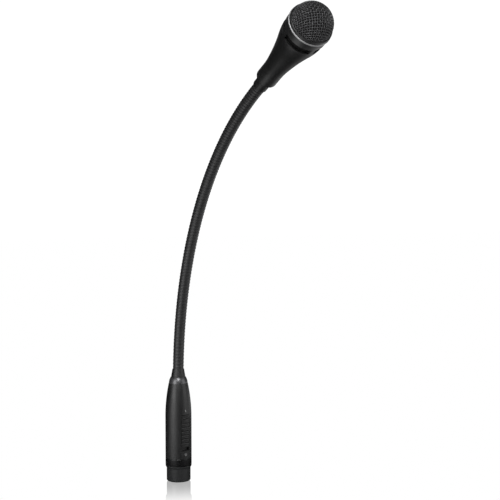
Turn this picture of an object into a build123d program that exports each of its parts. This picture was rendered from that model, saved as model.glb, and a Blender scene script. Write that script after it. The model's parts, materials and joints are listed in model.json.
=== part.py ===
from build123d import *
import math
import os

# Plug-in gooseneck microphone. Millimetres, +Z up.
# Origin: centre of the plug's mouth. The plug, handle and foot of the neck share the Z axis,
# and the neck bends in the YZ plane towards -Y, where it carries the head.

GAP = 0.02               # between pieces that fit together

# ---- driving dimensions: plug and handle ----
PLUG_R = 9.5             # outer radius of the round metal plug
PLUG_BORE_R = 8.2        # socket side of the plug is hollow to this radius
PLUG_LENGTH = 10.4       # plain part of the plug before the shoulder
PLUG_FLOOR = 14.5        # depth of the hollow, where the insert starts
PLUG_TOP = 23.0          # the shell runs on inside the handle up to here
MOUTH_EDGE = 0.9         # rounding of the plug's mouth
KEY_SIZE = (3.0, 1.1, 13.0)
SHOULDER_R = 10.3
SHOULDER_TOP = 12.5
BAND_R = 10.4
BAND_TOP = 18.5
HANDLE_R = 10.4
HANDLE_STRAIGHT_TOP = 51.0
HANDLE_TAPER_RADIUS = 132.0
HANDLE_TOP = 78.0
SHELL_TOP_BORE_R = 5.6   # the hole at the top of the handle's shell
NUT_SEAT = 72.0          # bottom of that hole, under which the nut clamps the neck
CAP_TOP = 83.0
HANDLE_WALL = 1.3
CONTACT_CIRCLE_R = 3.9
CONTACT_R = 1.2
CONTACT_TAIL_R = 1.0     # the thinner tail held in the insert
CONTACT_TOP = 23.8
CONTACT_TIP = 1.5        # the contacts stop this far inside the mouth

# ---- driving dimensions: switch ----
SWITCH_ANGLE = 11.0      # the switch faces this many degrees from -Y towards +X
SLOT_WIDTH = 8.4
SLOT_BOTTOM = 24.5
SLOT_TOP = 54.5
SLOT_MIDDLE = (SLOT_TOP + SLOT_BOTTOM) / 2
KNOB_WIDTH = 6.8
KNOB_BOTTOM = 28.4
KNOB_TOP = 53.5
KNOB_TRAVEL = 2.5
RIB_COUNT = 6
RIB_PITCH = 3.1
RIB_FIRST = 31.2         # height of the lowest groove between ribs
THUMB_STOP = 51.4        # height of the raised bar at the knob's upper end
STEM_MIDDLE = 41.0       # the knob's stem reaches through the tray into the switch
STEM_LENGTH = 7.4
STEM_GAP = 0.3
SCREW_REACH = 12.0       # from the switch's middle to each board screw
SCREW_R = 0.82

# ---- driving dimensions: neck ----
NECK_R = 4.35
NECK_BORE_R = 2.5
NECK_FOOT = 62.0         # lower end of the neck, inside the handle
NECK_TAIL = 25.0         # the neck runs this far into the head
LEAD_R = 1.5
LEAD_FOOT = 57.0
LEAD_TAIL = 26.0         # the lead runs this far into the head
CUP_R = 4.5              # hollow end of a link, around the round end of the next
BEND_RADIUS = 237.5
BEND_ANGLE = 66.0
BEND_START = 80.0        # height at which the neck leaves the vertical
JOINT_COUNT = 16
END_STRAIGHT = 13.1      # from each end of the bend to the first and last joint
LINK_TURN = 3.98         # degrees between one link and the next

# ---- driving dimensions: head, as distances along its own axis from the end of the bend ----
COLLAR_R = 5.05
COLLAR_START = 3.4
COLLAR_END = 13.5
HOUSING_START = 13.6
HOUSING_NECK_R = 7.3
FLARE_START = 23.0       # the head is straight up to here, then flares
HOUSING_MOUTH_R = 14.3
HOUSING_END = 75.7
HOUSING_WALL = 1.2
VENT_MIDDLE = 68.3
VENT_HEIGHT = 4.6
VENT_COUNT = 4
VENT_SPAN = 79.0         # degrees round the head that each vent covers
VENT_FIRST = 54.5        # middle of the first vent, from +X round the head's axis
FELT_END = 71.5
FELT_BORE_R = 11.4
MOUTH_BORE_R = 12.6      # inner radius of the two rings at the head's mouth
TRIM_R = 14.65
TRIM_END = 76.8
RIM_R = 14.3
RIM_END = 78.9
DOME_R = 13.8
DOME_CENTRE = 78.0
DOME_WALL = 0.55
FOAM_WALL = 1.6
CAPSULE_R = 9.0
CAPSULE_START = 57.5
CAPSULE_END = 74.0
CASE_WALL = 0.7
CASE_FLOOR = 0.8
TAG_REACH = 2.2          # from the capsule's axis to each solder tag

# ---- places worked out from the above ----
LINK_COUNT = JOINT_COUNT - 1
END_TURN = (BEND_ANGLE - LINK_TURN * (LINK_COUNT - 1)) / 2
BEND_END = Vector(
    0,
    -BEND_RADIUS * (1 - math.cos(math.radians(BEND_ANGLE))),
    BEND_START + BEND_RADIUS * math.sin(math.radians(BEND_ANGLE)),
)


def link_angle(k):
    """Angle of link k (1 to 15) from the vertical."""
    return END_TURN + (k - 1) * LINK_TURN


def link_length():
    """Length of one link, so that equal links turning equally span the bend."""
    half = math.radians(BEND_ANGLE / 2)
    chord = 2 * BEND_RADIUS * math.sin(half)
    ends = 2 * END_STRAIGHT * math.cos(half)
    steps = [math.radians(link_angle(k)) - half for k in range(1, LINK_COUNT + 1)]
    return (chord - ends) / sum(math.cos(step) for step in steps)


def along(angle):
    """Unit vector of the neck's direction at an angle from the vertical."""
    turn = math.radians(angle)
    return Vector(0, -math.sin(turn), math.cos(turn))


def joint_places():
    """Centres of the neck's joints, from the handle to the head."""
    places = [Vector(0, 0, BEND_START + END_STRAIGHT)]
    for k in range(1, LINK_COUNT + 1):
        places.append(places[-1] + along(link_angle(k)) * link_length())
    return places


HEAD = Location(BEND_END, (BEND_ANGLE, 0, 0))
SWITCH = Location((0, 0, 0), (0, 0, SWITCH_ANGLE))


def turned(points, arc=360.0):
    """Solid of revolution about Z of a closed outline of (radius, height) points."""
    face = make_face(Polyline([(r, 0, z) for r, z in points], close=True))
    return revolve(face, Axis.Z, arc)


def tube(outer, inner, low, high):
    """Plain tube on the Z axis."""
    return turned([(inner, low), (outer, low), (outer, high), (inner, high)])


def rod(radius, low, high, at=(0, 0)):
    """Plain cylinder parallel to Z."""
    return Pos(at[0], at[1], (low + high) / 2) * Cylinder(radius, high - low)


def block(size, centre):
    """Plain box."""
    return Pos(*centre) * Box(*size)


def rings(shape, least_radius, height=None):
    """Circular edges of at least a radius, at one height if it is given."""
    circles = shape.edges().filter_by(GeomType.CIRCLE)
    wide = [e for e in circles if e.radius >= least_radius - 1e-6]
    if height is None:
        return wide
    return [e for e in wide if abs(e.center().Z - height) < 1e-6]


def around(count, radius, start=0.0):
    """Points spaced evenly round a circle."""
    turns = [math.radians(start + k * 360.0 / count) for k in range(count)]
    return [(radius * math.cos(turn), radius * math.sin(turn)) for turn in turns]


def handle_radius(height, inset=0.0):
    """Radius of the handle's outside at a height: straight, then an arc."""
    rise = max(0.0, height - HANDLE_STRAIGHT_TOP)
    drop = HANDLE_TAPER_RADIUS - math.sqrt(HANDLE_TAPER_RADIUS**2 - rise**2)
    return HANDLE_R - drop - inset


def taper_arc(low, high, inset=0.0):
    """Arc of the handle's tapering outside, moved inwards by the inset."""
    ends = [low, (low + high) / 2, high]
    return ThreePointArc(*[(handle_radius(z, inset), 0, z) for z in ends])


# ---- plug ----
def plug_shell():
    body = turned(
        [
            (PLUG_BORE_R, 0),
            (PLUG_R, 0),
            (PLUG_R, PLUG_LENGTH),
            (SHOULDER_R, PLUG_LENGTH + 1.4),
            (SHOULDER_R, SHOULDER_TOP),
            (PLUG_R, SHOULDER_TOP),
            (PLUG_R, PLUG_TOP),
            (PLUG_BORE_R, PLUG_TOP),
        ]
    )
    key = block(KEY_SIZE, (0, 0.35 - PLUG_BORE_R, 1.5 + KEY_SIZE[2] / 2))
    rounded = fillet(rings(body, PLUG_R, 0.0), MOUTH_EDGE)
    return rounded + (key & rod(PLUG_BORE_R + 0.2, 0, PLUG_TOP))


def contact_places():
    """The three contacts: two either side of the key, one opposite."""
    return around(3, CONTACT_CIRCLE_R, 90.0)


def contact_insert():
    top = PLUG_TOP - 0.4
    insert = rod(PLUG_BORE_R - GAP, PLUG_FLOOR, top)
    for place in contact_places():
        insert -= rod(CONTACT_TAIL_R, 10, 30, place)
    return chamfer(rings(insert, PLUG_BORE_R - GAP, top), 0.4)


def contact_pin(place):
    blade = rod(CONTACT_R, CONTACT_TIP, PLUG_FLOOR, place)
    blade = fillet(rings(blade, CONTACT_R, CONTACT_TIP), 0.9)
    tail = rod(CONTACT_TAIL_R, PLUG_FLOOR - 0.5, CONTACT_TOP, place)
    solder_cup = rod(0.75, CONTACT_TOP - 0.9, CONTACT_TOP + 1, place)
    return blade + tail - solder_cup


def contact_pins():
    return [contact_pin(place) for place in contact_places()]


def earth_spring():
    """Angle strip that joins the top of the plug's shell to the inside of the handle."""
    low = PLUG_TOP + 0.1
    thick = 0.3
    outer = HANDLE_R - HANDLE_WALL - 0.2
    inner = PLUG_BORE_R - 0.25
    strip = block((2.4, thick, 9.0), (0, outer - thick / 2, low + 4.5))
    foot = block((2.4, outer - inner, thick), (0, (outer + inner) / 2, low + thick / 2))
    return strip + foot


def accent_band():
    band = tube(BAND_R, PLUG_R + GAP, SHOULDER_TOP + 0.1, BAND_TOP)
    return fillet(rings(band, BAND_R), 0.25)


# ---- handle ----
def handle_shell():
    """Turned shell: a shoulder on the plug, a straight bore, then a wall that thickens to the top."""
    bottom = BAND_TOP + 0.1
    shoulder = PLUG_TOP + 0.2
    inside = HANDLE_R - HANDLE_WALL
    narrowed = inside - 0.4
    outline = [
        Line((PLUG_R + GAP, 0, bottom), (HANDLE_R, 0, bottom)),
        Line((HANDLE_R, 0, bottom), (HANDLE_R, 0, HANDLE_STRAIGHT_TOP)),
        taper_arc(HANDLE_STRAIGHT_TOP, HANDLE_TOP),
        Line((handle_radius(HANDLE_TOP), 0, HANDLE_TOP), (SHELL_TOP_BORE_R, 0, HANDLE_TOP)),
        Line((SHELL_TOP_BORE_R, 0, HANDLE_TOP), (SHELL_TOP_BORE_R, 0, NUT_SEAT)),
        Line((SHELL_TOP_BORE_R, 0, NUT_SEAT), (narrowed, 0, 60.0)),
        Line((narrowed, 0, 60.0), (inside, 0, 56.0)),
        Line((inside, 0, 56.0), (inside, 0, shoulder)),
        Line((inside, 0, shoulder), (PLUG_R + GAP, 0, shoulder)),
        Line((PLUG_R + GAP, 0, shoulder), (PLUG_R + GAP, 0, bottom)),
    ]
    shell = revolve(make_face(outline), Axis.Z)
    window = RectangleRounded(SLOT_WIDTH, SLOT_TOP - SLOT_BOTTOM, 1.2)
    cutter = Pos(0, -5, SLOT_MIDDLE) * Rot(90, 0, 0) * extrude(window, 8)
    return shell - SWITCH * cutter


def handle_cap():
    base = HANDLE_TOP + 0.1
    outline = [
        Line((COLLAR_R, 0, base), (handle_radius(base) - 0.1, 0, base)),
        ThreePointArc(
            (handle_radius(base) - 0.1, 0, base),
            (handle_radius(81.0) - 0.05, 0, 81.0),
            (5.9, 0, CAP_TOP),
        ),
        Line((5.9, 0, CAP_TOP), (COLLAR_R, 0, CAP_TOP)),
        Line((COLLAR_R, 0, CAP_TOP), (COLLAR_R, 0, base)),
    ]
    return revolve(make_face(outline), Axis.Z)


def lower_collar():
    """Sleeve round the foot of the neck, with a cone that shows above the cap."""
    low = NUT_SEAT + 0.5
    step = HANDLE_TOP - 0.1
    cone_top = 89.2
    return turned(
        [
            (NECK_R + GAP, low),
            (SHELL_TOP_BORE_R - 0.1, low),
            (SHELL_TOP_BORE_R - 0.1, step),
            (COLLAR_R - GAP, step),
            (COLLAR_R - GAP, CAP_TOP + 0.1),
            (SHELL_TOP_BORE_R, CAP_TOP + 0.1),
            (SHELL_TOP_BORE_R - 0.05, CAP_TOP + 1.0),
            (NECK_R + 0.3, cone_top),
            (NECK_R + GAP, cone_top),
        ]
    )


def neck_nut():
    """Hexagon nut that clamps the neck from inside the handle."""
    thick = 3.0
    low = NUT_SEAT + 0.4 - thick
    hexagon = extrude(RegularPolygon(5.2, 6), thick)
    return Pos(0, 0, low) * hexagon - rod(NECK_R + GAP, low - 1, low + thick + 1)


# ---- switch ----
def stem_reach():
    """Lowest and highest point that the knob's stem reaches, with clearance."""
    half = STEM_LENGTH / 2 + STEM_GAP
    return STEM_MIDDLE - KNOB_TRAVEL - half, STEM_MIDDLE + half


def facing(radius, height, length, depth):
    """Cylinder that points out of the handle's front, centred at a depth behind the Z axis's front."""
    return Pos(0, -depth, height) * Rot(90, 0, 0) * Cylinder(radius, length)


def tray_block(inset, corner, depth):
    """Rounded block in the handle's window, made smaller all round by the inset."""
    height = SLOT_TOP - SLOT_BOTTOM - 2 * inset
    outline = RectangleRounded(SLOT_WIDTH - 2 * inset, height, corner)
    return Pos(0, -depth, SLOT_MIDDLE) * Rot(90, 0, 0) * extrude(outline, 4)


def switch_tray():
    outside = tray_block(0.05, 1.15, 6.9)
    inside = tray_block(0.65, 0.6, 7.7)
    low, high = stem_reach()
    stem = block((3.0, 4.0, high - low), (0, -7, (low + high) / 2))
    tray = (outside - inside - stem) & rod(HANDLE_R - 0.15, SLOT_BOTTOM, SLOT_TOP)
    for end in (-SCREW_REACH, SCREW_REACH):
        post = facing(1.8, SLOT_MIDDLE + end, 5.16, 4.6)
        hole = facing(SCREW_R + GAP, SLOT_MIDDLE + end, 5.2, 4.6)
        tray += post - hole
    return SWITCH * tray


def switch_knob():
    length = KNOB_TOP - KNOB_BOTTOM
    middle = (KNOB_TOP + KNOB_BOTTOM) / 2
    pad = Pos(0, -7.9, middle) * Rot(90, 0, 0) * extrude(RectangleRounded(KNOB_WIDTH, length, 0.7), 3.2)
    pad = pad & rod(HANDLE_R + 0.25, KNOB_BOTTOM, KNOB_TOP)
    for k in range(RIB_COUNT):
        height = RIB_FIRST + k * RIB_PITCH
        pad -= Pos(0, -HANDLE_R - 0.45, height) * Rot(0, 90, 0) * Cylinder(0.95, KNOB_WIDTH + 2)
    bar = Pos(0, -HANDLE_R + 0.1, THUMB_STOP) * Rot(0, 90, 0) * Cylinder(0.95, KNOB_WIDTH - 2.2)
    stem = block((2.4, 3.6, STEM_LENGTH), (0, -6.2, STEM_MIDDLE))
    return SWITCH * (pad + fillet(rings(bar, 0.9), 0.4) + stem)


def switch_case():
    low, high = stem_reach()
    middle = (low + high) / 2
    case = block((7.2, 4.4, high - low + 2.4), (0, -4.6, middle))
    room = block((3.2, 3.6, high - low), (0, -5.6, middle))
    return SWITCH * (case - room)


def tag_places():
    """Across and up positions of the switch's six tags."""
    low, high = stem_reach()
    middle = (low + high) / 2
    return [(side, middle + step) for side in (-2.4, 2.4) for step in (-4.0, 0.0, 4.0)]


def switch_contacts():
    return [SWITCH * block((0.8, 1.5, 0.3), (side, -1.65, height)) for side, height in tag_places()]


def switch_board():
    board = block((9.0, 0.8, 26.4), (0, -1.6, SLOT_MIDDLE))
    for side, height in tag_places():
        board -= block((0.8, 2.0, 0.3), (side, -1.6, height))
    for end in (-SCREW_REACH, SCREW_REACH):
        board -= facing(SCREW_R + 0.03, SLOT_MIDDLE + end, 3, 1.6)
    return SWITCH * board


def board_screws():
    """Screws through the board into the ends of the tray."""
    screws = []
    for end in (-SCREW_REACH, SCREW_REACH):
        height = SLOT_MIDDLE + end
        shank = facing(SCREW_R, height, 5.6, 3.8)
        head = facing(1.5, height, 0.96, 0.7)
        drive = block((0.5, 0.5, 2.0), (0, -0.2, height))
        screws.append(SWITCH * ((shank + head) - drive))
    return screws


def lead_wires():
    """Short wires from the contacts up behind the switch board."""
    wires = []
    for x, y in contact_places():
        back = max(y, 1.4)
        route = Spline(
            (x, y, 23.0),
            (0.92 * x, (y + back) / 2, 24.9),
            (0.85 * x, back, 27.0),
            (0.8 * x, back + 0.3, 32.0),
            tangents=[(0, 0, 1), (0, 0, 1)],
        )
        wires.append(sweep(Plane(route @ 0, z_dir=route % 0) * Circle(0.4), path=route))
    return wires


# ---- neck ----
def lead_route():
    """Middle line of the lead inside the neck: straight, the bend, straight."""
    bend = math.radians(BEND_ANGLE)
    half = bend / 2
    start = Vector(0, 0, BEND_START)
    crown = Vector(
        0,
        -BEND_RADIUS * (1 - math.cos(half)),
        BEND_START + BEND_RADIUS * math.sin(half),
    )
    foot = Line((0, 0, LEAD_FOOT), start)
    arc = ThreePointArc(start, crown, BEND_END)
    tail = Line(BEND_END, BEND_END + along(BEND_ANGLE) * LEAD_TAIL)
    return Wire([foot, arc, tail])


def inner_lead():
    return sweep(Plane((0, 0, LEAD_FOOT)) * Circle(LEAD_R), path=lead_route())


def link_solid(low_round, length, high_cup):
    """One link of the neck: round at its foot, hollow at its tip, bored through."""
    body = rod(NECK_R, 0, length)
    if low_round:
        body += Sphere(NECK_R)
    if high_cup:
        body -= Pos(0, 0, length) * Sphere(CUP_R)
    return body - rod(NECK_BORE_R, -NECK_R - 1, length + 1)


def placed_along(shape, place, angle):
    """A shape made on +Z from the origin, set down at a place on the neck."""
    return Location(place, (angle, 0, 0)) * shape


def neck_end_lower():
    top = joint_places()[0].Z
    return Pos(0, 0, NECK_FOOT) * link_solid(False, top - NECK_FOOT, True)


def neck_links():
    places = joint_places()
    links = []
    for k in range(1, LINK_COUNT + 1):
        link = link_solid(True, link_length(), True)
        links.append(placed_along(link, places[k - 1], link_angle(k)))
    return links


def neck_end_upper():
    end = link_solid(True, END_STRAIGHT + NECK_TAIL, False)
    return placed_along(end, joint_places()[-1], BEND_ANGLE)


# ---- head ----
def housing_profile(inset, low, high):
    """Outside curve of the head between two distances, moved inwards by the inset."""
    stations = [(HOUSING_NECK_R, FLARE_START), (8.0, 33.0), (9.45, 43.0), (11.65, 54.0), (13.45, 62.0)]
    stations += [(14.18, 68.5), (HOUSING_MOUTH_R, high)]
    places = [(r - inset, 0, z) for r, z in stations]
    curve = Spline(places, tangents=[(0, 0, 1), (0.01, 0, 1)])
    return [Line((HOUSING_NECK_R - inset, 0, low), places[0]), curve]


def vent_cutter(low, high, span, middle):
    """Wedge of a ring, to cut one vent through the wall."""
    inner = HOUSING_MOUTH_R - 3.0
    outer = HOUSING_MOUTH_R + 3.0
    wedge = turned([(inner, low), (outer, low), (outer, high), (inner, high)], span)
    return Rot(0, 0, middle - span / 2) * wedge


def head_housing():
    low = HOUSING_START
    floor = low + 1.5
    high = HOUSING_END
    hole = COLLAR_R - 0.6
    outside = housing_profile(0.0, low, high)
    inside = housing_profile(HOUSING_WALL, floor, high)
    ends = [
        Line((hole, 0, low), (HOUSING_NECK_R, 0, low)),
        Line((HOUSING_MOUTH_R, 0, high), (HOUSING_MOUTH_R - HOUSING_WALL, 0, high)),
        Line((HOUSING_NECK_R - HOUSING_WALL, 0, floor), (hole, 0, floor)),
        Line((hole, 0, floor), (hole, 0, low)),
    ]
    shell = revolve(make_face(outside + inside + ends), Axis.Z)
    shell = fillet(rings(shell, HOUSING_NECK_R, low), 0.5)
    vent_low = VENT_MIDDLE - VENT_HEIGHT / 2
    vent_high = VENT_MIDDLE + VENT_HEIGHT / 2
    for k in range(VENT_COUNT):
        middle = VENT_FIRST + k * 360.0 / VENT_COUNT
        shell -= vent_cutter(vent_low, vent_high, VENT_SPAN, middle)
    return HEAD * shell


def upper_collar():
    collar = tube(COLLAR_R, NECK_R + GAP, COLLAR_START, COLLAR_END)
    return HEAD * fillet(rings(collar, COLLAR_R), 0.4)


def head_bush():
    """Bush that holds the end of the neck in the head."""
    outer = HOUSING_NECK_R - HOUSING_WALL - GAP
    return HEAD * tube(outer, NECK_R + GAP, HOUSING_START + 1.5 + GAP, FLARE_START)


def vent_felt():
    """Felt sleeve behind the vents."""
    return HEAD * tube(12.2, FELT_BORE_R, FELT_END - 7.0, FELT_END)


def felt_ring():
    """Ring that holds the felt behind the vents."""
    low = FELT_END + 0.1
    high = FELT_END + 1.5
    return HEAD * turned([(FELT_BORE_R, low), (12.95, low), (13.0, high), (FELT_BORE_R, high)])


def trim_ring():
    ring = turned(
        [
            (MOUTH_BORE_R, HOUSING_END),
            (TRIM_R - 0.25, HOUSING_END),
            (TRIM_R, HOUSING_END + 0.25),
            (TRIM_R, TRIM_END - 0.25),
            (TRIM_R - 0.25, TRIM_END),
            (MOUTH_BORE_R, TRIM_END),
        ]
    )
    return HEAD * ring


def grille_rim():
    rim = turned(
        [
            (MOUTH_BORE_R, TRIM_END),
            (RIM_R, TRIM_END),
            (RIM_R, RIM_END - 0.4),
            (RIM_R - 0.12, RIM_END - 0.15),
            (RIM_R - 0.3, RIM_END),
            (DOME_R + GAP, RIM_END),
            (DOME_R + GAP, TRIM_END + 0.5),
            (MOUTH_BORE_R, TRIM_END + 0.5),
        ]
    )
    return HEAD * rim


def dome(outer, wall, low):
    """Hollow dome about the grille's centre, with a straight skirt down to a height."""
    ball = Pos(0, 0, DOME_CENTRE) * Sphere(outer)
    solid = (ball & rod(outer, DOME_CENTRE, DOME_CENTRE + outer)) + rod(outer, low, DOME_CENTRE)
    inner = outer - wall
    hollow_ball = Pos(0, 0, DOME_CENTRE) * Sphere(inner)
    hollow = (hollow_ball & rod(inner, DOME_CENTRE, DOME_CENTRE + inner)) + rod(inner, low - 1, DOME_CENTRE)
    return solid - hollow


def grille_mesh():
    return HEAD * dome(DOME_R, DOME_WALL, TRIM_END + 0.5 + GAP)


def foam_liner():
    return HEAD * dome(DOME_R - DOME_WALL - GAP, FOAM_WALL, TRIM_END + 0.5 + GAP)


# ---- capsule ----
def capsule_case():
    shell = turned(
        [
            (3.2, CAPSULE_START),
            (CAPSULE_R, CAPSULE_START),
            (CAPSULE_R, CAPSULE_END),
            (CAPSULE_R - CASE_WALL, CAPSULE_END),
            (CAPSULE_R - CASE_WALL, CAPSULE_START + CASE_FLOOR),
            (3.2, CAPSULE_START + CASE_FLOOR),
        ]
    )
    return HEAD * shell


def capsule_yoke():
    """Steel cup round the magnet."""
    low = CAPSULE_START + CASE_FLOOR
    floor = low + 1.2
    high = low + 9.0
    return HEAD * turned([(2.0, low), (6.5, low), (6.5, high), (5.3, high), (5.3, floor), (2.0, floor)])


def capsule_magnet():
    return HEAD * rod(4.0, CAPSULE_START + 2.0, CAPSULE_START + 8.0)


def capsule_pole():
    return HEAD * rod(4.2, CAPSULE_START + 8.0, CAPSULE_START + 9.8)


def voice_coil():
    return HEAD * tube(4.95, 4.5, CAPSULE_START + 6.6, CAPSULE_START + 11.8)


def capsule_diaphragm():
    """Thin film with a domed centre and a flat edge."""
    low = CAPSULE_START + 11.8
    film = 0.15
    under = [(0, low + 1.4), (2.6, low + 0.95), (4.5, low), (8.2, low)]
    over = [(8.2, low + film), (4.6, low + film), (2.7, low + 0.95 + film), (0, low + 1.4 + film)]
    return HEAD * turned(under + over)


def diaphragm_seat():
    return HEAD * tube(CAPSULE_R - CASE_WALL - GAP, 7.2, CAPSULE_START + 9.8, CAPSULE_START + 11.8)


def capsule_front():
    low = CAPSULE_START + 13.8
    plate = rod(CAPSULE_R - CASE_WALL - GAP, low, low + 1.2)
    for place in around(6, 5.2):
        plate -= rod(1.1, low - 1, low + 3, place)
    plate -= rod(1.1, low - 1, low + 3)
    return HEAD * (plate + tube(CAPSULE_R - CASE_WALL - GAP, 8.2, low - 1.7, low))


def shock_mount():
    """Rubber ring between the capsule and the head's wall."""
    bore = CAPSULE_R + GAP
    low = CAPSULE_START + 2.5
    high = CAPSULE_START + 6.4
    return HEAD * turned([(bore, low), (10.9, low), (11.3, low + 2.0), (11.3, high), (bore, high)])


def capsule_terminals():
    """Plate under the capsule with its two solder tags."""
    made = block((7.0, 6.0, 0.8), (0, 0, CAPSULE_START - 0.4))
    for side in (-TAG_REACH, TAG_REACH):
        made += block((1.0, 0.4, 2.6), (side, 0, CAPSULE_START - 2.1))
    return HEAD * made


def capsule_wires():
    """Two wires from the end of the lead to the capsule's tags."""
    wires = []
    for side in (-1, 1):
        start = (side * 0.75, 0, LEAD_TAIL + 0.05)
        end = (side * TAG_REACH, 0.65, CAPSULE_START - 3.0)
        route = Spline(start, (side * 3.2, 0.3, 41.0), end, tangents=[(0, 0, 1), (0, 0, 1)])
        wires.append(HEAD * sweep(Plane(route @ 0, z_dir=route % 0) * Circle(0.45), path=route))
    return wires


# ---- writing the pieces ----
def group(shapes):
    """Separate solids that share one node."""
    return Compound(children=[shape.solid() for shape in shapes])


def single(shape):
    """The one solid of a piece."""
    solids = shape.solids()
    if len(solids) != 1:
        raise ValueError(f"expected one solid, found {len(solids)}")
    return solids[0]


def pieces():
    """Every piece of the microphone, by name."""
    made = {
        "plug_shell": single(plug_shell()),
        "contact_insert": single(contact_insert()),
        "contact_pins": group(contact_pins()),
        "earth_spring": single(earth_spring()),
        "accent_band": single(accent_band()),
        "handle_shell": single(handle_shell()),
        "handle_cap": single(handle_cap()),
        "lower_collar": single(lower_collar()),
        "neck_nut": single(neck_nut()),
        "switch_tray": single(switch_tray()),
        "switch_knob": single(switch_knob()),
        "switch_case": single(switch_case()),
        "switch_contacts": group(switch_contacts()),
        "switch_board": single(switch_board()),
        "board_screws": group(board_screws()),
        "lead_wires": group(lead_wires()),
        "inner_lead": single(inner_lead()),
        "neck_end_lower": single(neck_end_lower()),
        "neck_end_upper": single(neck_end_upper()),
        "upper_collar": single(upper_collar()),
        "head_bush": single(head_bush()),
        "head_housing": single(head_housing()),
        "vent_felt": single(vent_felt()),
        "felt_ring": single(felt_ring()),
        "trim_ring": single(trim_ring()),
        "grille_rim": single(grille_rim()),
        "grille_mesh": single(grille_mesh()),
        "foam_liner": single(foam_liner()),
        "capsule_case": single(capsule_case()),
        "capsule_yoke": single(capsule_yoke()),
        "capsule_magnet": single(capsule_magnet()),
        "capsule_pole": single(capsule_pole()),
        "voice_coil": single(voice_coil()),
        "diaphragm_seat": single(diaphragm_seat()),
        "capsule_diaphragm": single(capsule_diaphragm()),
        "capsule_front": single(capsule_front()),
        "shock_mount": single(shock_mount()),
        "capsule_terminals": single(capsule_terminals()),
        "capsule_wires": group(capsule_wires()),
    }
    for k, link in enumerate(neck_links(), start=1):
        made[f"neck_link_{k:02d}"] = single(link)
    return made


def main():
    os.makedirs("parts", exist_ok=True)
    for name, shape in pieces().items():
        export_step(shape, f"parts/{name}.step")


if __name__ == "__main__":
    main()
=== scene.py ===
import json
import math

import bmesh
import bpy
from mathutils import Matrix, Vector

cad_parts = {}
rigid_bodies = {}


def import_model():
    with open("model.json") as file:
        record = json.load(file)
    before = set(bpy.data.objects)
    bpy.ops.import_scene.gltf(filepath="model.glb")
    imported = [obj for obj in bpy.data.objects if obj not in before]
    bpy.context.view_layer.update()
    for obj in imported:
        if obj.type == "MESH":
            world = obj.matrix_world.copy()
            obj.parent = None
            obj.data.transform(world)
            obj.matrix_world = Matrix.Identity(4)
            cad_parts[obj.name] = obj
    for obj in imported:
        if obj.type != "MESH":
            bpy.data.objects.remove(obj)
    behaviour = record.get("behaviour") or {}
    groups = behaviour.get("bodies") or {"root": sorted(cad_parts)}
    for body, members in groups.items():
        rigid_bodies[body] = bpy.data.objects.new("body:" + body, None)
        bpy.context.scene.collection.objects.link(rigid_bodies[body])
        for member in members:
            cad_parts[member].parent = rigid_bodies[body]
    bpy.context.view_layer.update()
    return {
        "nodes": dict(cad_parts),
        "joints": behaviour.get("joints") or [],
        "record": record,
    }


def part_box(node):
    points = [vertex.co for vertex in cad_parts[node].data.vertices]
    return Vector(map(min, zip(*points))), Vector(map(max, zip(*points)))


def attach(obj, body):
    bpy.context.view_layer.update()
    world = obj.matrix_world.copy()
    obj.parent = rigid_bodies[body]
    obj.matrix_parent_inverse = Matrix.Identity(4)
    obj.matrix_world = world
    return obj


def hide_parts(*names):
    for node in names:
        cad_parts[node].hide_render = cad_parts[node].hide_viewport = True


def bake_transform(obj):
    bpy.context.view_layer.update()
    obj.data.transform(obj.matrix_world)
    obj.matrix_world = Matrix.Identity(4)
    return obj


bl_info = {
    "name": "Gooseneck microphone looks",
    "version": (1, 0, 0),
    "blender": (4, 5, 0),
    "location": "3D View > Sidebar > Microphone",
    "description": "Builds the wound neck, woven grille, prints and finishes of a microphone",
    "category": "Object",
}

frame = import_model()
MM = 0.001

# The neck and what runs through it
WINDING_BELOW = 12.0 * MM   # the winding starts this far before the bend
WINDING_ABOVE = 24.0 * MM   # and ends this far past it
LEAD_BELOW = 23.0 * MM
LEAD_ABOVE = 26.0 * MM
WINDING_SIDES = 36          # points round the winding
RINGS_PER_TURN = 12         # rings of points along one turn of the round wire
BORE_STEPS = 8
LEAD_SIDES = 16
LEAD_STEPS = 14
END_EDGE = math.radians(50)  # edges sharper than this stay sharp
BENT_FROM_ABOVE = 2         # hinge meant to be blended from the upper link down; it is baked like the rest

# The grille
GRILLE_CENTRE = 78.0 * MM   # middle of the dome, from the end of the bend
GRILLE_SKIRT = 0.6 * MM     # how far the weave runs down behind the dome's edge
GRILLE_INSET = 2.2          # depth of the weave's middle under the solid, in wire radii
WAVE_HEIGHT = 0.95          # how far a wire weaves in and out, in wire radii
STEPS_PER_WIRE = 5          # steps between one crossing and the next
WIRE_SIDES = 7
WIRE_EDGE = math.radians(60)

# The marks printed beside the switch
SWITCH_TURN = math.radians(11.0)
PRINT_LIFT = 0.005 * MM
PRINT_THICKNESS = 0.03 * MM
HANDLE_TAPER = 0.06 * MM    # how much thinner the handle is at the upper mark
BAR_GAP = 1.7 * MM          # from the tray up to the bar
BAR_HEIGHT = 1.8 * MM
BAR_HALF_WIDTH = 0.22 * MM
RING_GAP = 2.4 * MM         # from the tray down to the ring's middle
RING_RADIUS = 0.95 * MM
RING_WIDTH = 0.4 * MM
RING_SIDES = 32

# Finishes
TONE_SPREAD = 0.14          # slow change of tone, either way
WORN_TONE = 3.2             # a rubbed edge against the paint
DUST_COLOUR = (0.16, 0.155, 0.15)
ROUGH_SPREAD = 0.03
MARKS_AMOUNT = 0.3
MARKS_ROUGHNESS = 0.16      # what handling marks add to the roughness
COAT_ROUGHNESS = 0.12

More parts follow.
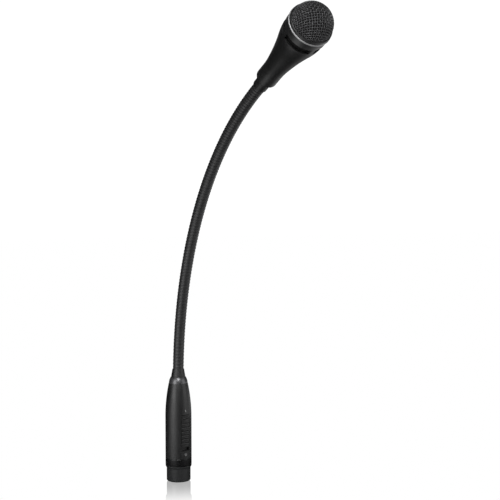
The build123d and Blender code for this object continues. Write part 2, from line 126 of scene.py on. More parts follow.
# The stage, in metres
FLOOR_HALF = 6.0
FLOOR_TOP = -0.6 * MM
MIRROR_START = 10 * MM      # the floor's mirror image fades out from here
MIRROR_END = 75 * MM
MIRROR_STRENGTH = 0.55
FLOOR_GLOW = 0.012          # the floor in blurred reflections, away from its patches
PAINTED_GLOW_PATCHES = (           # painted pools of light that glow only in reflections: middle, inner and outer distance, strength
    ((-0.28, -0.12, 0.0), 0.06, 0.26, 2.60),
    ((0.84, 0.08, 0.0), 0.15, 0.70, 1.80),
    ((0.25, -0.22, 0.0), 0.06, 0.30, 0.90),
)
WORLD_STRENGTH = 1.05
WORLD_DIMMING = 1.042       # taken off in blurred reflections
SOFTBOXES = (               # name, place, point aimed at, size, watts
    ("softbox_left", (-1.00, -0.42, 0.36), (0.0, -0.06, 0.17), (0.62, 0.80), 7.5),
    ("softbox_top", (-0.30, -0.78, 0.78), (0.0, -0.06, 0.14), (0.45, 0.35), 8.0),
    ("softbox_right", (0.80, -0.75, 0.34), (0.0, -0.06, 0.17), (0.80, 0.80), 3.4),
    ("softbox_back", (0.35, 1.00, 0.55), (0.0, -0.06, 0.17), (0.6, 0.9), 0.5),
)
CAMERA_LENS = 74.5
CAMERA_SENSOR = 36.0
CAMERA_PLACE = (-0.3134, -0.7589, 0.2200)
CAMERA_DIRECTION = (0.4448, 0.8945, -0.0441)
CAMERA_ROLL = math.radians(-0.07)


# ---------------------------------------------------------------- places read from the frame

def neck_joints():
    """The neck's hinges in order from the handle: (centre, parent body, child body)."""
    hinges = [j for j in frame["joints"] if j["type"] == "hinge"]
    by_parent = {j["parent"]: j for j in hinges}
    ordered = []
    body = "handle"
    while body in by_parent:
        joint = by_parent[body]
        ordered.append((Vector(joint["pos_m"]), joint["parent"], joint["child"]))
        body = joint["child"]
    return ordered


JOINTS = neck_joints()


# ---------------------------------------------------------------- properties

class MicSizes(bpy.types.PropertyGroup):
    """Sizes of the pieces that are built here."""

    bend_radius: bpy.props.FloatProperty(
        name="Bend radius", description="Radius of the neck's bend",
        default=237.5 * MM, unit="LENGTH")
    bend_angle: bpy.props.FloatProperty(
        name="Bend angle", description="How far the neck turns from the vertical",
        default=math.radians(66.0), subtype="ANGLE")
    bend_start: bpy.props.FloatProperty(
        name="Bend start", description="Height at which the neck leaves the vertical",
        default=80.0 * MM, unit="LENGTH")
    neck_radius: bpy.props.FloatProperty(
        name="Neck radius", description="Outer radius over the wound wire",
        default=4.35 * MM, unit="LENGTH")
    neck_bore: bpy.props.FloatProperty(
        name="Neck bore", description="Inner radius of the wound wire",
        default=2.5 * MM, unit="LENGTH")
    winding_pitch: bpy.props.FloatProperty(
        name="Winding pitch", description="Distance between turns of the round wire",
        default=2.75 * MM, unit="LENGTH")
    round_wire: bpy.props.FloatProperty(
        name="Round wire", description="Radius of the round wire of the neck",
        default=1.2 * MM, unit="LENGTH")
    groove_depth: bpy.props.FloatProperty(
        name="Groove depth", description="How far the filler wire lies below the round wire",
        default=0.17 * MM, unit="LENGTH")
    lead_radius: bpy.props.FloatProperty(
        name="Lead radius", description="Radius of the lead inside the neck",
        default=1.5 * MM, unit="LENGTH")
    mesh_pitch: bpy.props.FloatProperty(
        name="Mesh pitch", description="Distance between the grille's wires",
        default=1.65 * MM, unit="LENGTH")
    mesh_wire: bpy.props.FloatProperty(
        name="Mesh wire", description="Radius of the grille's wires",
        default=0.205 * MM, unit="LENGTH")


class MicColours(bpy.types.PropertyGroup):
    """Colours of the main finishes."""

    paint: bpy.props.FloatVectorProperty(
        name="Paint", description="Satin paint of the handle and head",
        default=(0.0042, 0.0043, 0.0044), subtype="COLOR")
    wire: bpy.props.FloatVectorProperty(
        name="Neck wire", description="Black finish of the wound neck",
        default=(0.0100, 0.0100, 0.0103), subtype="COLOR")
    shell: bpy.props.FloatVectorProperty(
        name="Plug shell", description="Dark plating of the plug",
        default=(0.016, 0.0165, 0.017), subtype="COLOR")
    gloss: bpy.props.FloatVectorProperty(
        name="Gloss black", description="Gloss black of the band and nose",
        default=(0.003, 0.003, 0.0032), subtype="COLOR")
    silver: bpy.props.FloatVectorProperty(
        name="Silver", description="Plated ring behind the grille",
        default=(0.35, 0.35, 0.355), subtype="COLOR")
    nickel: bpy.props.FloatVectorProperty(
        name="Dark nickel", description="Plating of the handle's nose",
        default=(0.080, 0.080, 0.083), subtype="COLOR")
    grille: bpy.props.FloatVectorProperty(
        name="Grille", description="Painted wires of the grille",
        default=(0.034, 0.034, 0.035), subtype="COLOR")
    backdrop: bpy.props.FloatVectorProperty(
        name="Floor", description="Pale floor and background",
        default=(0.9, 0.9, 0.9), subtype="COLOR")


# ---------------------------------------------------------------- mesh helpers

def link_object(name, mesh):
    """A new object in the scene."""
    piece = bpy.data.objects.new(name, mesh)
    bpy.context.scene.collection.objects.link(piece)
    return piece


def mesh_from(name, points, faces, smooth=True):
    """A mesh object from plain lists of points and faces, with its normals outwards."""
    mesh = bpy.data.meshes.new(name)
    mesh.from_pydata([tuple(p) for p in points], [], faces)
    work = bmesh.new()
    work.from_mesh(mesh)
    bmesh.ops.recalc_face_normals(work, faces=work.faces)
    work.to_mesh(mesh)
    work.free()
    for polygon in mesh.polygons:
        polygon.use_smooth = smooth
    return link_object(name, mesh)


def ring_faces(rings, around, close_ends):
    """Quads between rings of points, with flat ends if they are closed."""
    faces = []
    for i in range(rings - 1):
        for j in range(around):
            k = (j + 1) % around
            here, there = i * around, (i + 1) * around
            faces.append((here + j, here + k, there + k, there + j))
    if close_ends:
        faces.append(tuple(reversed(range(around))))
        faces.append(tuple((rings - 1) * around + j for j in range(around)))
    return faces


def sharpen(piece, angle):
    """Marks edges sharper than an angle, so that the rest shade smoothly."""
    work = bmesh.new()
    work.from_mesh(piece.data)
    for edge in work.edges:
        if len(edge.link_faces) == 2:
            edge.smooth = edge.calc_face_angle(0.0) < angle
    work.to_mesh(piece.data)
    work.free()


def tube_along(path, radius, around):
    """Points and faces of a round tube along a list of points, closed at both ends."""
    points = []
    side = None
    for i, here in enumerate(path):
        ahead = path[min(i + 1, len(path) - 1)] - path[max(i - 1, 0)]
        ahead.normalize()
        if side is None:
            side = ahead.orthogonal().normalized()
        side = (side - ahead * side.dot(ahead)).normalized()
        other = ahead.cross(side)
        for j in range(around):
            turn = 2 * math.pi * j / around
            points.append(here + (side * math.cos(turn) + other * math.sin(turn)) * radius)
    return points, ring_faces(len(path), around, True)


# ---------------------------------------------------------------- the neck's middle line

def neck_frame(distance):
    """(point, tangent, normal) of the neck's middle line, measured from the bend's start."""
    sizes = bpy.context.scene.mic_sizes
    radius = sizes.bend_radius
    angle = min(max(distance / radius, 0.0), sizes.bend_angle)
    straight = distance - angle * radius
    height = sizes.bend_start + radius * math.sin(angle)
    point = Vector((0, -radius * (1 - math.cos(angle)), height))
    tangent = Vector((0, -math.sin(angle), math.cos(angle)))
    normal = Vector((0, math.cos(angle), math.sin(angle)))
    return point + tangent * straight, tangent, normal


def distance_near(place):
    """Distance along the middle line of the point nearest to a place."""
    sizes = bpy.context.scene.mic_sizes
    centre = Vector((0, -sizes.bend_radius, sizes.bend_start))
    arm = place - centre
    angle = math.atan2(arm.z, arm.y)
    clear = min(max(angle, 0.0), sizes.bend_angle)
    point, tangent, _ = neck_frame(clear * sizes.bend_radius)
    return clear * sizes.bend_radius + (place - point).dot(tangent)


def neck_cuts(low, high):
    """Distances at which the neck is divided: its ends, and the middle of each link."""
    centres = [distance_near(place) for place, _, _ in JOINTS]
    middles = [(a + b) / 2 for a, b in zip(centres, centres[1:])]
    return [low] + middles + [high]


def head_matrix():
    """Matrix that carries a shape made on +Z onto the head, +Z forwards."""
    sizes = bpy.context.scene.mic_sizes
    point, tangent, normal = neck_frame(sizes.bend_radius * sizes.bend_angle)
    rotation = Matrix((Vector((1, 0, 0)), normal, tangent)).transposed()
    return Matrix.Translation(point) @ rotation.to_4x4()


def blend_over_joint(piece, index):
    """Bakes a piece's placement into its mesh; the piece is not bent over its hinge."""
    if index == BENT_FROM_ABOVE:
        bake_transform(piece)
    else:
        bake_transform(piece)


# ---------------------------------------------------------------- shader helpers

class Shade:
    """A material's node tree with short ways to add and join nodes."""

    def __init__(self, tree):
        self.tree = tree

    def node(self, kind, **settings):
        made = self.tree.nodes.new(kind)
        for name, value in settings.items():
            setattr(made, name, value)
        return made

    def join(self, source, target):
        self.tree.links.new(source, target)

    def noise(self, vector, scale, detail=2.0, roughness=0.5):
        made = self.node("ShaderNodeTexNoise")
        made.inputs["Scale"].default_value = scale
        made.inputs["Detail"].default_value = detail
        made.inputs["Roughness"].default_value = roughness
        self.join(vector, made.inputs["Vector"])
        return made.outputs["Fac"]

    def ramp(self, source, low, high, low_value=0.0, high_value=1.0):
        made = self.node("ShaderNodeMapRange", interpolation_type="SMOOTHSTEP")
        made.inputs["From Min"].default_value = low
        made.inputs["From Max"].default_value = high
        made.inputs["To Min"].default_value = low_value
        made.inputs["To Max"].default_value = high_value
        self.join(source, made.inputs["Value"])
        return made.outputs["Result"]

    def maths(self, operation, first, second):
        made = self.node("ShaderNodeMath", operation=operation)
        for slot, value in zip(made.inputs, (first, second)):
            if isinstance(value, (int, float)):
                slot.default_value = value
            else:
                self.join(value, slot)
        return made.outputs["Value"]

    def mix(self, factor, first, second):
        made = self.node("ShaderNodeMix", data_type="RGBA")
        slots = (made.inputs[0], made.inputs[6], made.inputs[7])
        for slot, value in zip(slots, (factor, first, second)):
            if isinstance(value, (int, float)):
                slot.default_value = value
            elif isinstance(value, (tuple, list)):
                slot.default_value = (*value[:3], 1.0)
            else:
                self.join(value, slot)
        return made.outputs[2]

    def position(self):
        return self.node("ShaderNodeTexCoord").outputs["Object"]


def new_group(name, inputs, outputs):
    """A shader group with named sockets: (group, shade, input node, output node)."""
    group = bpy.data.node_groups.new(name, "ShaderNodeTree")
    for label, kind, value in inputs:
        made = group.interface.new_socket(name=label, in_out="INPUT", socket_type=kind)
        if value is not None:
            made.default_value = value
    for label, kind in outputs:
        group.interface.new_socket(name=label, in_out="OUTPUT", socket_type=kind)
    shade = Shade(group)
    return group, shade, shade.node("NodeGroupInput"), shade.node("NodeGroupOutput")


def build_grain_group():
    """Fine stipple of sprayed paint: a height, and a slow variation of tone."""
    group, shade, given, out = new_group(
        "Paint grain",
        [("Vector", "NodeSocketVector", None), ("Grain scale", "NodeSocketFloat", 4000.0),
         ("Cloud scale", "NodeSocketFloat", 60.0)],
        [("Height", "NodeSocketFloat"), ("Cloud", "NodeSocketFloat")])
    fine = shade.node("ShaderNodeTexNoise")
    fine.inputs["Detail"].default_value = 3.0
    shade.join(given.outputs["Vector"], fine.inputs["Vector"])
    shade.join(given.outputs["Grain scale"], fine.inputs["Scale"])
    slow = shade.node("ShaderNodeTexNoise")
    slow.inputs["Detail"].default_value = 4.0
    slow.inputs["Roughness"].default_value = 0.6
    shade.join(given.outputs["Vector"], slow.inputs["Vector"])
    shade.join(given.outputs["Cloud scale"], slow.inputs["Scale"])
    shade.join(fine.outputs["Fac"], out.inputs["Height"])
    shade.join(slow.outputs["Fac"], out.inputs["Cloud"])
    return group


def build_wear_group():
    """Mask of edges rubbed brighter: sharp convex edges, broken up by noise."""
    group, shade, given, out = new_group(
        "Edge wear",
        [("Vector", "NodeSocketVector", None), ("Amount", "NodeSocketFloat", 0.5)],
        [("Mask", "NodeSocketFloat")])
    geometry = shade.node("ShaderNodeNewGeometry")
    sharp = shade.ramp(geometry.outputs["Pointiness"], 0.53, 0.60)
    broken = shade.ramp(shade.noise(given.outputs["Vector"], 900.0, 3.0), 0.42, 0.62)
    rubbed = shade.maths("MULTIPLY", sharp, broken)
    shade.join(shade.maths("MULTIPLY", rubbed, given.outputs["Amount"]), out.inputs["Mask"])
    return group


def build_dust_group():
    """Thin film of dust and finger marks: a mask for roughness and a faint tone."""
    group, shade, given, out = new_group(
        "Handling marks",
        [("Vector", "NodeSocketVector", None), ("Scale", "NodeSocketFloat", 150.0),
         ("Amount", "NodeSocketFloat", 0.3)],
        [("Mask", "NodeSocketFloat"), ("Specks", "NodeSocketFloat")])
    smear = shade.node("ShaderNodeTexNoise")
    smear.inputs["Detail"].default_value = 5.0
    smear.inputs["Distortion"].default_value = 1.2
    shade.join(given.outputs["Vector"], smear.inputs["Vector"])
    shade.join(given.outputs["Scale"], smear.inputs["Scale"])
    film = shade.ramp(smear.outputs["Fac"], 0.45, 0.75)
    shade.join(shade.maths("MULTIPLY", film, given.outputs["Amount"]), out.inputs["Mask"])
    specks = shade.node("ShaderNodeTexVoronoi", feature="F1")
    specks.inputs["Scale"].default_value = 700.0
    shade.join(given.outputs["Vector"], specks.inputs["Vector"])
    dots = shade.ramp(specks.outputs["Distance"], 0.02, 0.07, 1.0, 0.0)
    shade.join(shade.maths("MULTIPLY", dots, given.outputs["Amount"]), out.inputs["Specks"])
    return group


def build_fibre_group():
    """Tangled short fibres, for felt and foam: a height and a tone."""
    group, shade, given, out = new_group(
        "Fibres",
        [("Vector", "NodeSocketVector", None), ("Scale", "NodeSocketFloat", 1500.0)],
        [("Height", "NodeSocketFloat"), ("Tone", "NodeSocketFloat")])
    cells = shade.node("ShaderNodeTexVoronoi", feature="F1", distance="EUCLIDEAN")
    shade.join(given.outputs["Vector"], cells.inputs["Vector"])
    shade.join(given.outputs["Scale"], cells.inputs["Scale"])
    tangle = shade.node("ShaderNodeTexNoise")
    tangle.inputs["Detail"].default_value = 6.0
    tangle.inputs["Distortion"].default_value = 2.0
    shade.join(given.outputs["Vector"], tangle.inputs["Vector"])
    shade.join(given.outputs["Scale"], tangle.inputs["Scale"])
    height = shade.maths("ADD", cells.outputs["Distance"], tangle.outputs["Fac"])
    shade.join(height, out.inputs["Height"])
    shade.join(tangle.outputs["Fac"], out.inputs["Tone"])
    return group


GROUPS = {}


def group_node(shade, name, **values):
    """Places a shared group in a material and sets its own values."""
    made = shade.node("ShaderNodeGroup", node_tree=GROUPS[name])
    for label, value in values.items():
        made.inputs[label.replace("_", " ")].default_value = value
    return made


def scaled(colour, factor):
    """A colour made lighter or darker."""
    return tuple(channel * factor for channel in colour[:3])


def new_material(name):
    """A material with an empty tree; returns (material, shade, surface shader)."""
    made = bpy.data.materials.new(name)
    made.use_nodes = True
    made.node_tree.nodes.clear()
    shade = Shade(made.node_tree)
    output = shade.node("ShaderNodeOutputMaterial")
    surface = shade.node("ShaderNodeBsdfPrincipled")
    shade.join(surface.outputs["BSDF"], output.inputs["Surface"])
    return made, shade, surface


def bump(shade, surface, height, distance, strength):
    """Joins a height to the shader's normal."""
    made = shade.node("ShaderNodeBump")
    made.inputs["Distance"].default_value = distance
    made.inputs["Strength"].default_value = strength
    shade.join(height, made.inputs["Height"])
    shade.join(made.outputs["Normal"], surface.inputs["Normal"])


def coated_material(name, colour, rough, metallic=0.0, grain=4000.0, relief=0.02,
                    wear=0.5, coat=0.0):
    """Paint, plating or moulding: grain, a slow change of tone, rubbed edges and handling marks."""
    made, shade, surface = new_material(name)
    where = shade.position()
    texture = group_node(shade, "grain", Grain_scale=grain)
    rubbed = group_node(shade, "wear", Amount=wear)
    film = group_node(shade, "marks", Amount=MARKS_AMOUNT)
    for placed in (texture, rubbed, film):
        shade.join(where, placed.inputs["Vector"])
    tone = shade.mix(texture.outputs["Cloud"], scaled(colour, 1 - TONE_SPREAD),
                     scaled(colour, 1 + TONE_SPREAD))
    worn = shade.mix(rubbed.outputs["Mask"], tone, scaled(colour, WORN_TONE))
    dusty = shade.mix(film.outputs["Specks"], worn, DUST_COLOUR)
    shade.join(dusty, surface.inputs["Base Color"])
    base = shade.ramp(texture.outputs["Cloud"], 0.3, 0.7,
                      rough - ROUGH_SPREAD, rough + ROUGH_SPREAD)
    smeared = shade.maths("MULTIPLY", film.outputs["Mask"], MARKS_ROUGHNESS)
    dulled = shade.maths("ADD", base, smeared)
    shade.join(dulled, surface.inputs["Roughness"])
    surface.inputs["Metallic"].default_value = metallic
    surface.inputs["Coat Weight"].default_value = coat
    surface.inputs["Coat Roughness"].default_value = COAT_ROUGHNESS
    bump(shade, surface, texture.outputs["Height"], relief * MM, 0.35)
    return made


def fibre_material(name, colour, scale, relief):
    """Felt or open foam."""
    made, shade, surface = new_material(name)
    fibres = group_node(shade, "fibres", Scale=scale)
    shade.join(shade.position(), fibres.inputs["Vector"])
    tone = shade.mix(fibres.outputs["Tone"], scaled(colour, 0.4), scaled(colour, 1.8))
    shade.join(tone, surface.inputs["Base Color"])
    surface.inputs["Roughness"].default_value = 0.95
    surface.inputs["Sheen Weight"].default_value = 0.02
    surface.inputs["Specular IOR Level"].default_value = 0.15
    surface.inputs["Sheen Roughness"].default_value = 0.5
    bump(shade, surface, fibres.outputs["Height"], relief * MM, 0.8)
    return made


def metal_material(name, colour, rough, stretch):
    """Bare metal with fine turning or drawing lines along one direction."""
    made, shade, surface = new_material(name)
    mapping = shade.node("ShaderNodeMapping")
    mapping.inputs["Scale"].default_value = stretch
    shade.join(shade.position(), mapping.inputs["Vector"])
    lines = shade.noise(mapping.outputs["Vector"], 1.0, 4.0, 0.6)
    tone = shade.mix(lines, scaled(colour, 0.82), scaled(colour, 1.08))
    shade.join(tone, surface.inputs["Base Color"])
    streaks = shade.ramp(lines, 0.3, 0.7, rough - 0.05, rough + 0.07)
    shade.join(streaks, surface.inputs["Roughness"])
    surface.inputs["Metallic"].default_value = 1.0
    bump(shade, surface, lines, 0.01 * MM, 0.25)
    return made


def build_materials():
    """Every finish, by the record's material slot."""
    colours = bpy.context.scene.mic_colours
    return {
        "plug_metal": coated_material(
            "Plug shell", colours.shell, 0.36, metallic=0.35, grain=5200.0, relief=0.012),
        "handle_paint": coated_material(
            "Satin paint", colours.paint, 0.40, grain=3600.0, relief=0.022),
        "gloss_black": coated_material(
            "Gloss black", colours.gloss, 0.16, grain=2000.0, relief=0.004, coat=0.6, wear=0.25),
        "black_plastic": coated_material(
            "Black moulding", scaled(colours.paint, 0.75), 0.46, grain=2600.0, relief=0.03),
        "neck_metal": coated_material(
            "Wound wire", colours.wire, 0.42, grain=3000.0, relief=0.012, wear=0.2, metallic=0.2),
        "silver": coated_material(
            "Plated ring", colours.silver, 0.58, metallic=0.90, grain=3200.0, relief=0.008,
            wear=0.2),
        "nose_metal": coated_material(
            "Dark nickel", colours.nickel, 0.33, metallic=0.8, grain=2600.0, relief=0.006,
            wear=0.3),
        "mesh_paint": coated_material(
            "Grille paint", colours.grille, 0.30, metallic=0.5, grain=5000.0, relief=0.01,
            wear=0.6),
        # near-black foam: black foam, darkened further as painted shade under the grille
        "foam": fibre_material("Open foam", (0.0018, 0.0018, 0.0018), 2200.0, 0.25),
        # near-black felt: black felt, darkened further as painted shade inside the vent slots
        "felt": fibre_material("Felt", (0.0008, 0.0008, 0.0008), 3000.0, 0.15),
        "contact_metal": metal_material(
            "Plated contact", (0.78, 0.62, 0.32), 0.22, (900.0, 900.0, 120.0)),
        "steel": metal_material("Steel", (0.56, 0.56, 0.57), 0.3, (1200.0, 1200.0, 200.0)),
        "insulator": coated_material(
            "Insulator", (0.016, 0.016, 0.017), 0.5, grain=2400.0, relief=0.02),
        "board": coated_material(
            "Printed board", (0.012, 0.10, 0.035), 0.35, grain=1800.0, relief=0.01),
        "lead_sheath": coated_material(
            "Lead sheath", (0.02, 0.02, 0.02), 0.55, grain=1600.0, relief=0.03),
        "wire_red": coated_material(
            "Wire insulation", (0.32, 0.02, 0.015), 0.42, grain=1500.0, relief=0.01),
        "rubber_mount": coated_material(
            "Rubber", (0.012, 0.012, 0.012), 0.7, grain=1500.0, relief=0.04),
        "magnet": metal_material("Magnet", (0.30, 0.30, 0.31), 0.45, (1500.0, 1500.0, 1500.0)),
        "copper": metal_material("Copper wire", (0.70, 0.30, 0.16), 0.3, (200.0, 200.0, 9000.0)),
        "film": coated_material(
            "Clear film", (0.55, 0.52, 0.42), 0.25, grain=900.0, relief=0.01),
        "print": coated_material(
            "Pale print", (0.085, 0.085, 0.085), 0.6, grain=2600.0, relief=0.01),
    }


MATERIALS = {}


# ---------------------------------------------------------------- operators

class MIC_OT_finishes(bpy.types.Operator):
    """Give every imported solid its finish"""

    bl_idname = "mic.finishes"
    bl_label = "Finish the solids"

    def execute(self, context):
        GROUPS.update(grain=build_grain_group(), wear=build_wear_group(), marks=build_dust_group(),
                      fibres=build_fibre_group())
        MATERIALS.update(build_materials())
        for part in frame["record"]["subparts"]:
            node = frame["nodes"][part["node"]]
            node.data.materials.clear()
            node.data.materials.append(MATERIALS[part["material_slot"]])
        return {"FINISHED"}


def winding_radius(phase):
    """Outer radius of the neck at a phase from 0 to 1 of one turn: round wire, then filler wire."""
    sizes = bpy.context.scene.mic_sizes
    wire = sizes.round_wire
    offset = abs((phase % 1.0) - 0.5) * sizes.winding_pitch
    floor = sizes.neck_radius - sizes.groove_depth
    if offset >= wire:
        return floor
    round_top = sizes.neck_radius - wire + math.sqrt(wire**2 - offset**2)
    return max(floor, round_top)


def beside_line(middle, normal, turn, radius):
    """A point beside the neck's middle line, at a part of a turn round it."""
    angle = 2 * math.pi * turn
    across = Vector((1, 0, 0)) * math.cos(angle) + normal * math.sin(angle)
    return middle + across * radius


def winding_mesh(name, low, high):
    """One stretch of the wound neck: helical outside, smooth bore, flat ends."""
    sizes = bpy.context.scene.mic_sizes
    around = WINDING_SIDES
    step = sizes.winding_pitch / RINGS_PER_TURN
    rings = max(2, math.ceil((high - low) / step)) + 1
    points = []
    for i in range(rings):
        distance = low + (high - low) * i / (rings - 1)
        middle, _, normal = neck_frame(distance)
        for j in range(around):
            turn = j / around
            radius = winding_radius(distance / sizes.winding_pitch - turn)
            points.append(beside_line(middle, normal, turn, radius))
    for i in range(BORE_STEPS + 1):
        distance = high + (low - high) * i / BORE_STEPS
        middle, _, normal = neck_frame(distance)
        points += [beside_line(middle, normal, j / around, sizes.neck_bore)
                   for j in range(around)]
    faces = ring_faces(rings + BORE_STEPS + 1, around, False)
    last = (rings + BORE_STEPS) * around
    for j in range(around):
        k = (j + 1) % around
        faces.append((last + j, last + k, k, j))
    return mesh_from(name, points, faces)


class MIC_OT_neck(bpy.types.Operator):
    """Wind the neck, one stretch for each hinge"""

    bl_idname = "mic.neck"
    bl_label = "Wind the neck"

    def execute(self, context):
        sizes = context.scene.mic_sizes
        end = sizes.bend_radius * sizes.bend_angle
        cuts = neck_cuts(-WINDING_BELOW, end + WINDING_ABOVE)
        for index in range(len(JOINTS)):
            piece = winding_mesh(f"winding_{index + 1:02d}", cuts[index], cuts[index + 1])
            piece.data.materials.append(MATERIALS["neck_metal"])
            sharpen(piece, END_EDGE)
            blend_over_joint(piece, index)
            if index == 0:
                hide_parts("neck_end_lower")
            if index < len(JOINTS) - 1:
                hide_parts(f"neck_link_{index + 1:02d}")
            else:
                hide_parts("neck_end_upper")
        return {"FINISHED"}


class MIC_OT_lead(bpy.types.Operator):
    """Run the lead through the neck, one stretch for each hinge"""

    bl_idname = "mic.lead"
    bl_label = "Run the lead"

    def execute(self, context):
        sizes = context.scene.mic_sizes
        end = sizes.bend_radius * sizes.bend_angle
        cuts = neck_cuts(-LEAD_BELOW, end + LEAD_ABOVE)
        for index in range(len(JOINTS)):
            low, high = cuts[index], cuts[index + 1]
            path = [neck_frame(low + (high - low) * i / LEAD_STEPS)[0]
                    for i in range(LEAD_STEPS + 1)]
            points, faces = tube_along(path, sizes.lead_radius, LEAD_SIDES)
            piece = mesh_from(f"lead_{index + 1:02d}", points, faces)
            sharpen(piece, END_EDGE)
            piece.data.materials.append(MATERIALS["lead_sheath"])
            blend_over_joint(piece, index)
            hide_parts("inner_lead")
        return {"FINISHED"}


def dome_point(first, second, radius, centre):
    """(point, outward direction) on the dome or its skirt, from a flat pattern."""
    reach = math.hypot(first, second)
    if reach < 1e-9:
        return Vector((0, 0, centre + radius)), Vector((0, 0, 1))
    along_x, along_y = first / reach, second / reach
    polar = reach / radius
    quarter = math.pi / 2
    if polar <= quarter:
        outward = Vector((math.sin(polar) * along_x, math.sin(polar) * along_y, math.cos(polar)))
        return Vector((0, 0, centre)) + outward * radius, outward
    outward = Vector((along_x, along_y, 0))
    return Vector((0, 0, centre - (polar - quarter) * radius)) + outward * radius, outward


class MIC_OT_grille(bpy.types.Operator):
    """Weave the domed wire grille"""

    bl_idname = "mic.grille"
    bl_label = "Weave the grille"

    def execute(self, context):
        sizes = context.scene.mic_sizes
        pitch = sizes.mesh_pitch
        wire = sizes.mesh_wire
        low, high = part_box("grille_mesh")
        radius = (high.x - low.x) / 2 - GRILLE_INSET * wire
        reach = radius * math.pi / 2 + GRILLE_SKIRT
        count = int(reach / pitch)
        step = pitch / STEPS_PER_WIRE
        place = head_matrix()
        all_points = []
        all_faces = []
        for direction in (0, 1):
            for line in range(-count, count + 1):
                fixed = line * pitch
                half = math.sqrt(max(reach**2 - fixed**2, 0.0))
                samples = max(2, int(2 * half / step))
                path = []
                for i in range(samples + 1):
                    moving = -half + 2 * half * i / samples
                    pair = (fixed, moving) if direction == 0 else (moving, fixed)
                    spot, outward = dome_point(*pair, radius, GRILLE_CENTRE)
                    over = 1 if (line + direction) % 2 else -1
                    wave = math.cos(math.pi * moving / pitch) * over
                    path.append(spot + outward * wave * wire * WAVE_HEIGHT)
                points, faces = tube_along(path, wire, WIRE_SIDES)
                start = len(all_points)
                all_points += [place @ p for p in points]
                all_faces += [tuple(start + index for index in face) for face in faces]
        piece = mesh_from("grille_weave", all_points, all_faces)
        sharpen(piece, WIRE_EDGE)
        piece.data.materials.append(MATERIALS["mesh_paint"])
        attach(piece, "head")
        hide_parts("grille_mesh")
        return {"FINISHED"}


def on_handle(across, up, depth):
    """Point at a place on the switch's side of the handle, at a radius from its axis."""
    angle = SWITCH_TURN + across / depth
    return Vector((depth * math.sin(angle), -depth * math.cos(angle), up))


def printed_bar(low, high, half_width, inner, outer):
    """Points and faces of a thin upright bar wrapped on the handle."""
    corners = [(-half_width, low), (half_width, low), (half_width, high), (-half_width, high)]
    points = [on_handle(across, up, depth)
              for depth in (inner, outer) for across, up in corners]
    faces = [(0, 1, 2, 3), (7, 6, 5, 4)]
    faces += [(i, (i + 1) % 4, 4 + (i + 1) % 4, 4 + i) for i in range(4)]
    return points, faces


def printed_ring(middle, size, width, inner, outer):
    """Points and faces of a thin ring wrapped on the handle."""
    loops = ((size, inner), (size, outer), (size - width, outer), (size - width, inner))
    points = []
    for reach, depth in loops:
        for i in range(RING_SIDES):
            turn = 2 * math.pi * i / RING_SIDES
            up = middle + reach * math.sin(turn)
            points.append(on_handle(reach * math.cos(turn), up, depth))
    faces = []
    for i in range(4):
        here, there = i * RING_SIDES, (i + 1) % 4 * RING_SIDES
        for j in range(RING_SIDES):
            k = (j + 1) % RING_SIDES
            faces.append((here + j, here + k, there + k, there + j))
    return points, faces


class MIC_OT_marks(bpy.types.Operator):
    """Print a bar above the switch and a ring below it"""

    bl_idname = "mic.marks"
    bl_label = "Print the switch marks"

    def execute(self, context):
        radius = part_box("handle_shell")[1].x + PRINT_LIFT
        tray_low, tray_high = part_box("switch_tray")
        low = tray_high.z + BAR_GAP
        inner = radius - HANDLE_TAPER
        points, faces = printed_bar(low, low + BAR_HEIGHT, BAR_HALF_WIDTH,
                                    inner, inner + PRINT_THICKNESS)
        upper = mesh_from("switch_mark_on", points, faces, smooth=False)
        points, faces = printed_ring(tray_low.z - RING_GAP, RING_RADIUS, RING_WIDTH,
                                     radius, radius + PRINT_THICKNESS)
        lower = mesh_from("switch_mark_off", points, faces, smooth=False)
        for piece in (upper, lower):
            piece.data.materials.append(MATERIALS["print"])
            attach(piece, "handle")
        return {"FINISHED"}


def lit_patch(shade, middle, inner, outer, strength):
    """A value on the floor that fades to nothing between two distances from a middle."""
    gap = shade.node("ShaderNodeVectorMath", operation="DISTANCE")
    shade.join(shade.position(), gap.inputs[0])
    gap.inputs[1].default_value = middle
    return shade.ramp(gap.outputs["Value"], inner, outer, strength, 0.0)


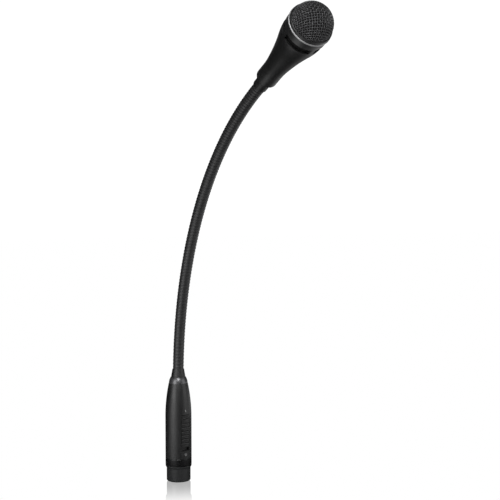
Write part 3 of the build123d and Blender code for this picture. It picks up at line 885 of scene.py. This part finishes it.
def build_floor():
    """A wide pale floor: white with a faint mirror image, but dim in the black finishes save for
    painted pools of light that glow in them.
    """
    half, top = FLOOR_HALF, FLOOR_TOP
    corners = [(-half, -half, top), (half, -half, top), (half, half, top), (-half, half, top)]
    floor = mesh_from("floor", corners, [(0, 1, 2, 3)], smooth=False)
    made, shade, surface = new_material("Pale floor")
    surface.inputs["Base Color"].default_value = (*bpy.context.scene.mic_colours.backdrop, 1.0)
    surface.inputs["Roughness"].default_value = 0.8
    surface.inputs["Specular IOR Level"].default_value = 0.0
    rays = shade.node("ShaderNodeLightPath")

    white = shade.node("ShaderNodeEmission")
    mirror = shade.node("ShaderNodeBsdfGlossy")
    mirror.inputs["Roughness"].default_value = 0.0
    polished = shade.node("ShaderNodeMixShader")
    image = lit_patch(shade, (0.0, 0.0, 0.0), MIRROR_START, MIRROR_END, MIRROR_STRENGTH)
    shade.join(image, polished.inputs[0])
    shade.join(white.outputs["Emission"], polished.inputs[1])
    shade.join(mirror.outputs["BSDF"], polished.inputs[2])

    # painted light: in glossy reflections the floor glows, dim all over and bright in the painted
    # patches
    dim = shade.node("ShaderNodeEmission")
    total = FLOOR_GLOW
    for patch in PAINTED_GLOW_PATCHES:
        total = shade.maths("ADD", lit_patch(shade, *patch), total)
    shade.join(total, dim.inputs["Strength"])

    reflected = shade.node("ShaderNodeMixShader")
    shade.join(rays.outputs["Is Glossy Ray"], reflected.inputs[0])
    shade.join(surface.outputs["BSDF"], reflected.inputs[1])
    shade.join(dim.outputs["Emission"], reflected.inputs[2])
    seen = shade.node("ShaderNodeMixShader")
    shade.join(rays.outputs["Is Camera Ray"], seen.inputs[0])
    shade.join(reflected.outputs["Shader"], seen.inputs[1])
    shade.join(polished.outputs["Shader"], seen.inputs[2])
    output = next(n for n in made.node_tree.nodes if n.type == "OUTPUT_MATERIAL")
    shade.join(seen.outputs["Shader"], output.inputs["Surface"])
    floor.data.materials.append(made)


def build_world(scene):
    """White all round, but dim in reflections, as with dark cards beside a product table."""
    world = bpy.data.worlds.new("White room")
    world.use_nodes = True
    shade = Shade(world.node_tree)
    background = world.node_tree.nodes["Background"]
    background.inputs["Color"].default_value = (1.0, 1.0, 1.0, 1.0)
    rays = shade.node("ShaderNodeLightPath")
    blurred = shade.maths("SUBTRACT", rays.outputs["Is Glossy Ray"],
                          rays.outputs["Is Singular Ray"])
    dimmed = shade.maths("MULTIPLY", blurred, WORLD_DIMMING)
    strength = shade.maths("SUBTRACT", WORLD_STRENGTH, dimmed)
    shade.join(strength, background.inputs["Strength"])
    scene.world = world


def soft_light(name, place, aim, size, power):
    """A rectangular softbox aimed at a point."""
    light = bpy.data.lights.new(name, "AREA")
    light.shape = "RECTANGLE"
    light.size, light.size_y = size
    light.energy = power
    lamp = bpy.data.objects.new(name, light)
    bpy.context.scene.collection.objects.link(lamp)
    lamp.location = place
    lamp.rotation_euler = (Vector(aim) - Vector(place)).to_track_quat("-Z", "Y").to_euler()


class MIC_OT_stage(bpy.types.Operator):
    """Set the pale floor, the soft lights and the camera"""

    bl_idname = "mic.stage"
    bl_label = "Set the stage"

    def execute(self, context):
        scene = context.scene
        build_floor()
        build_world(scene)
        for softbox in SOFTBOXES:
            soft_light(*softbox)
        scene.view_settings.view_transform = "Standard"

        camera = bpy.data.cameras.new("camera")
        camera.lens = CAMERA_LENS
        camera.sensor_width = CAMERA_SENSOR
        camera.clip_start = 0.01
        eye = bpy.data.objects.new("camera", camera)
        scene.collection.objects.link(eye)
        eye.location = CAMERA_PLACE
        look = Vector(CAMERA_DIRECTION).normalized()
        level = look.to_track_quat("-Z", "Y").to_matrix().to_4x4()
        roll = Matrix.Rotation(CAMERA_ROLL, 4, "Z")
        eye.rotation_euler = (level @ roll).to_euler()
        scene.camera = eye
        return {"FINISHED"}


STEPS = (MIC_OT_finishes, MIC_OT_neck, MIC_OT_lead, MIC_OT_grille, MIC_OT_marks, MIC_OT_stage)


class MIC_PT_panel(bpy.types.Panel):
    """The microphone's steps, sizes and colours"""

    bl_idname = "MIC_PT_panel"
    bl_label = "Microphone"
    bl_space_type = "VIEW_3D"
    bl_region_type = "UI"
    bl_category = "Microphone"

    def draw(self, context):
        for group in (context.scene.mic_sizes, context.scene.mic_colours):
            for name in group.bl_rna.properties.keys():
                if name not in ("rna_type", "name"):
                    self.layout.prop(group, name)
        for step in STEPS:
            self.layout.operator(step.bl_idname)


CLASSES = (MicSizes, MicColours, *STEPS, MIC_PT_panel)


def register():
    for cls in CLASSES:
        bpy.utils.register_class(cls)
    bpy.types.Scene.mic_sizes = bpy.props.PointerProperty(type=MicSizes)
    bpy.types.Scene.mic_colours = bpy.props.PointerProperty(type=MicColours)


def unregister():
    del bpy.types.Scene.mic_colours
    del bpy.types.Scene.mic_sizes
    for cls in reversed(CLASSES):
        bpy.utils.unregister_class(cls)


def main():
    """Registers the add-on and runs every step."""
    register()
    bpy.ops.mic.finishes()
    bpy.ops.mic.neck()
    bpy.ops.mic.lead()
    bpy.ops.mic.grille()
    bpy.ops.mic.marks()
    bpy.ops.mic.stage()


if __name__ == "__main__":
    main()
